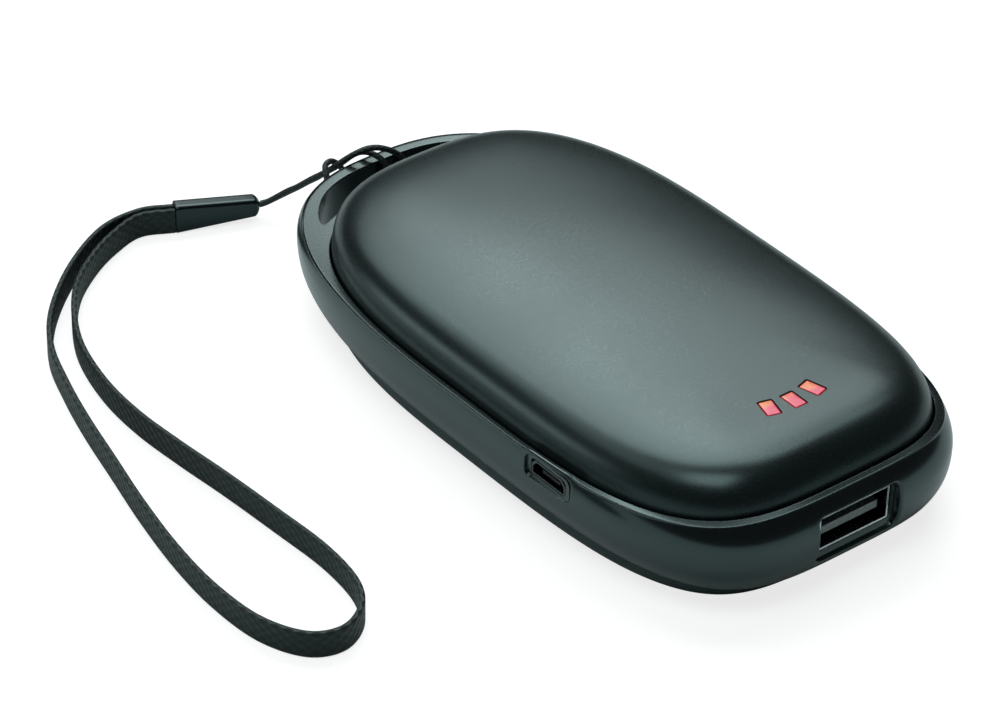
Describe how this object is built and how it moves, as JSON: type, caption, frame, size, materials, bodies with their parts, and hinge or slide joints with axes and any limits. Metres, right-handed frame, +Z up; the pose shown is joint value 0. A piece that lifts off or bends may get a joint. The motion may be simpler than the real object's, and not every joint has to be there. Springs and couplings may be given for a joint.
{
  "type": "hand warmer",
  "caption": "Rechargeable hand warmer: flat rounded body with domed covers, sockets on one end and one side, indicator windows and a corded wrist strap",
  "frame": {"origin": "bottom centre of the body, where the flat foot of the bottom cover rests", "axes": "+Z up through the covers, +Y towards the lanyard end, +X towards the side with the button"},
  "size_m": [0.1065, 0.1331, 0.0225],
  "materials": {
    "cover_shell": "matte black paint with a fine grain",
    "satin_frame": "satin black moulding",
    "satin_trim": "satin grey-green moulding",
    "window_light": "translucent, lit red",
    "socket_metal": "plated steel sheet",
    "pale_insulator": "pale grey moulding",
    "black_insulator": "black moulding",
    "gilt_contact": "gilt contact",
    "circuit_board": "green solder mask",
    "ferrite": "grey ferrite block",
    "ceramic": "tan ceramic",
    "screw_steel": "zinc-plated steel",
    "chassis_plastic": "dark grey moulding",
    "cell_pouch": "plain foil pouch",
    "foam": "closed-cell foam",
    "wire_sleeve": "insulated wire",
    "heating_film": "amber heating film",
    "braid": "fine black braid",
    "ferrule_plastic": "satin black moulding"
  },
  "bodies": {
    "body": {"top_cover": "cover_shell", "bottom_cover": "cover_shell", "frame_ring": "satin_frame", "trim_ring": "satin_trim", "light_guide": "window_light", "indicator_lights": "window_light", "usb_a_shell": "socket_metal", "usb_a_tongue": "pale_insulator", "usb_a_contacts": "gilt_contact", "micro_usb_shell": "socket_metal", "micro_usb_tongue": "black_insulator", "micro_usb_contacts": "gilt_contact", "tact_switch": "black_insulator", "main_board": "circuit_board", "charge_controller": "black_insulator", "power_inductor": "ferrite", "capacitors": "ceramic", "board_screws": "screw_steel", "chassis": "chassis_plastic", "battery_cell": "cell_pouch", "battery_board": "circuit_board", "battery_pads": "foam", "battery_leads": "wire_sleeve", "top_heater": "heating_film", "bottom_heater": "heating_film", "heater_foam": "foam", "heater_leads": "wire_sleeve", "thermistor": "black_insulator", "lanyard_cord": "braid", "lanyard_ferrule": "ferrule_plastic", "lanyard_strap": "braid"},
    "power_button": {"power_button": "satin_frame", "button_plunger": "pale_insulator"}
  },
  "joints": [
    {"name": "power_press", "type": "slide", "parent": "body", "child": "power_button", "axis": [-1, 0, 0], "range_m": [0, 0.0004], "stiffness_N_per_m": 4000}
  ]
}
